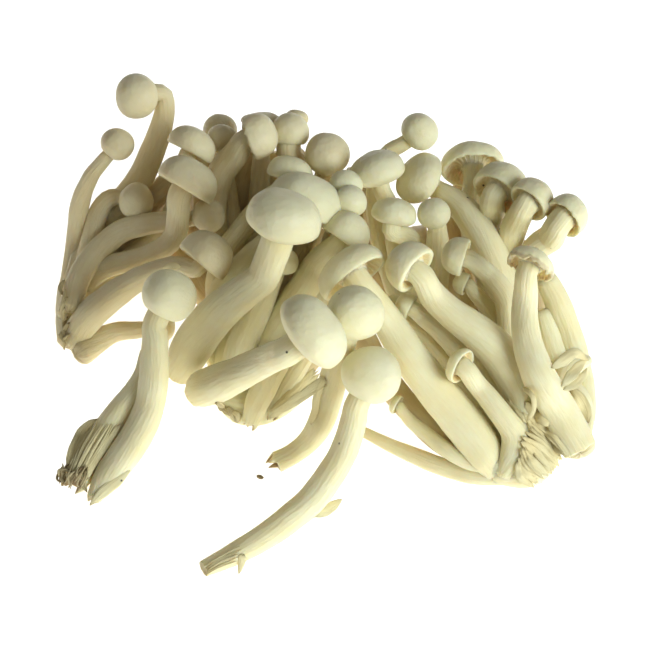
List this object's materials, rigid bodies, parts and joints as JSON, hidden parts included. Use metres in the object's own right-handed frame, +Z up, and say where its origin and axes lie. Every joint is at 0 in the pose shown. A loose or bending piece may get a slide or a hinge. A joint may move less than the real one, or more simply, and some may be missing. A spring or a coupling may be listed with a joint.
{
  "type": "bunch of white shimeji mushrooms",
  "caption": "Bunch of white beech mushrooms pulled apart into tufts and loose stems, lying in one heap with small round caps, curved stems and a few open gilled caps.",
  "frame": {"origin": "middle of the heap's footprint, on the surface that it lies on", "axes": "+X to the right across the heap, +Y away from the side with the loose long stem, +Z up"},
  "size_m": [0.1301, 0.1218, 0.0582],
  "materials": {
    "white_flesh": "soft matt cream-white mushroom flesh, a little waxy on the caps"
  },
  "bodies": {
    "root": {"back_tuft": "white_flesh", "centre_right_tuft": "white_flesh", "centre_tuft": "white_flesh", "edge_tuft": "white_flesh", "front_left_pair": "white_flesh", "left_tuft": "white_flesh", "loose_curled": "white_flesh", "loose_dome": "white_flesh", "loose_large": "white_flesh", "loose_long": "white_flesh", "right_back_tuft": "white_flesh", "right_tuft": "white_flesh"}
  },
  "joints": []
}
